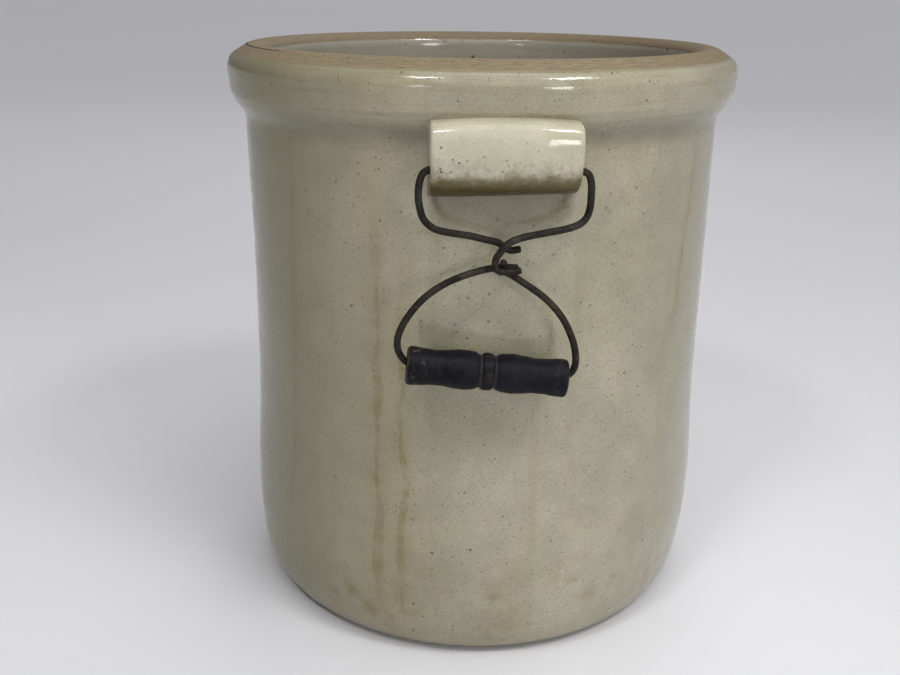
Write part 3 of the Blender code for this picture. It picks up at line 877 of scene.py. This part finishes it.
def grip_outline():
    """(distance along, radius): a bead between two grooves in the middle, a swell on either side."""
    half = [
        (0.0, 10.5), (1.8, 10.35), (2.9, 9.8), (3.7, 9.1), (4.4, 9.05), (5.3, 9.6),
        (7.0, 10.35), (10.0, 10.8), (14.0, 11.0), (19.0, 10.6), (25.0, 9.8), (31.0, 9.85),
        (37.0, 10.4), (41.2, 10.7), (42.8, 10.5), (43.6, 9.9), (43.9, 9.0),
    ]
    return spline([(-along, radius) for along, radius in reversed(half[1:])] + half, 0.5)


def make_grip(name, side, mat):
    """Turned grip, bored from end to end, its outside a little uneven."""
    outline = grip_outline()
    mouth = [(43.9, 4.9), (43.3, 4.4), (38.9, 2.6), (-38.9, 2.6), (-43.3, 4.4), (-43.9, 4.9)]
    rows = list(map(tuple, outline)) + mouth
    out = np.cross(GRIP_AXIS, GRIP_RISE)
    verts = []
    for i, (along, radius) in enumerate(rows):
        for k in range(GRIP_COLUMNS):
            a = TAU * k / GRIP_COLUMNS
            r = radius
            if i < len(outline):
                ripple = 0.07 * (1 + math.sin(along * 0.8 + 2.0 * math.sin(a)))
                r -= ripple + 0.06 * (1 + math.sin(3 * a + along * 0.1))
            point = GRIP_CENTRE + GRIP_AXIS * along + (GRIP_RISE * math.cos(a) + out * math.sin(a)) * r
            verts.append((side * point[0], side * point[1], point[2]))
    faces = grid_faces(len(rows), GRIP_COLUMNS, wrap_rows=True)
    return add_mesh(name, verts, faces, mat)


# ---------------------------------------------------------------------------
# Assembly
# ---------------------------------------------------------------------------

def mount(piece, body, node):
    """Say which body a piece rides on and which CAD node it replaces."""
    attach(piece, body)
    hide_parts(node)


mount(make_body(body_glaze()), "crock", "crock_body")
ear_mat = ear_glaze()
iron = wire_iron()
for label, side in (("front", 1), ("rear", -1)):
    mount(make_ear(label + "_ear_lug", side, ear_mat), "crock", label + "_ear")
    hanger = make_wire(label + "_hanger", hanger_route(), side, iron)
    mount(hanger, label + "_hanger", label + "_hanger_wire")
    bail = make_wire(label + "_bail", bail_route(), side, iron)
    mount(bail, label + "_bail", label + "_bail_wire")
    turn = np.array([side, side, 1.0])
    paint = grip_paint(label + "_grip_paint", GRIP_AXIS * turn, GRIP_CENTRE * turn * MM)
    mount(make_grip(label + "_wood_grip", side, paint), label + "_grip", label + "_grip")


# ---------------------------------------------------------------------------
# Floor, light and camera
# ---------------------------------------------------------------------------

FLOOR_HALF = 40000.0
FLOOR_LEVEL = -0.2
LIGHT_TARGET = Vector((0.0, 0.0, 0.22))
CAMERA_PLACE = (-0.0572, -0.6610, 0.3996)
SOFTBOXES = (
    # name, azimuth and elevation in degrees, distance and size in metres, power in watts
    ("key_right", 27, 10, 1.5, (0.28, 0.32), 3.3),
    ("key_top_right", 42, 50, 1.7, (0.40, 0.28), 8.6),
    ("key_front", 4, 38, 1.5, (1.30, 0.90), 3.4),
    ("fill_left", -29, 10, 1.6, (0.12, 0.28), 1.2),
    ("fill_top_left", -34, 52, 1.7, (0.26, 0.18), 5.2),
    ("fill_rear", 168, 40, 2.2, (1.30, 0.90), 6.5),
)


def make_floor():
    """Plain sheet, a hair below the crock and far wider than the picture."""
    corners = [(-1, -1), (1, -1), (1, 1), (-1, 1)]
    verts = [(x * FLOOR_HALF, y * FLOOR_HALF, FLOOR_LEVEL) for x, y in corners]
    floor = add_mesh("studio_floor", verts, [(0, 1, 2, 3)], floor_paper())


def softbox(name, azimuth, elevation, distance, size, power):
    """Rectangular area light aimed at the crock. azimuth runs from the front (-Y) towards +X."""
    az = math.radians(azimuth)
    el = math.radians(elevation)
    away = Vector((math.sin(az) * math.cos(el), -math.cos(az) * math.cos(el), math.sin(el)))
    light = bpy.data.lights.new(name, "AREA")
    light.shape = "RECTANGLE"
    light.size, light.size_y = size
    light.energy = power
    lamp = bpy.data.objects.new(name, light)
    lamp.location = LIGHT_TARGET + away * distance
    lamp.rotation_euler = away.to_track_quat("Z", "Y").to_euler()
    bpy.context.collection.objects.link(lamp)


def make_world():
    """Pale studio surround, a little dimmer on the left."""
    world = bpy.data.worlds.new("studio")
    world.use_nodes = True
    tree = world.node_tree
    back = tree.nodes["Background"]
    coord = tree.nodes.new("ShaderNodeTexCoord")
    split = tree.nodes.new("ShaderNodeSeparateXYZ")
    level = tree.nodes.new("ShaderNodeMath")
    level.operation = "MULTIPLY_ADD"
    level.inputs[1].default_value = 0.14
    level.inputs[2].default_value = 0.21
    tree.links.new(coord.outputs["Generated"], split.inputs[0])
    tree.links.new(split.outputs["X"], level.inputs[0])
    tree.links.new(level.outputs[0], back.inputs["Strength"])
    back.inputs["Color"].default_value = (0.955, 0.955, 1.0, 1.0)
    bpy.context.scene.world = world


def ceiling_light():
    """Wide, soft light from above."""
    light = bpy.data.lights.new("ceiling", "SUN")
    light.energy = 0.95
    light.angle = math.radians(50)
    lamp = bpy.data.objects.new("ceiling", light)
    lamp.rotation_euler = (math.radians(12), math.radians(6), 0.0)
    bpy.context.collection.objects.link(lamp)


def make_camera():
    """The camera of the photograph, solved from the can's and the crock's outlines."""
    data = bpy.data.cameras.new("photo_camera")
    data.sensor_width = 36.0
    data.lens = 39.27
    data.clip_start = 0.01
    camera = bpy.data.objects.new("photo_camera", data)
    heading = math.radians(-3.39)
    pitch = math.radians(-19.92)
    roll = math.radians(0.66)
    aimed = Matrix.Rotation(heading, 4, "Z") @ Matrix.Rotation(math.pi / 2 + pitch, 4, "X")
    turned = aimed @ Matrix.Rotation(roll, 4, "Z")
    camera.matrix_world = Matrix.Translation(CAMERA_PLACE) @ turned
    bpy.context.collection.objects.link(camera)
    bpy.context.scene.camera = camera


make_floor()
make_world()
ceiling_light()
for row in SOFTBOXES:
    softbox(*row)
make_camera()
bpy.context.scene.view_settings.view_transform = "Standard"
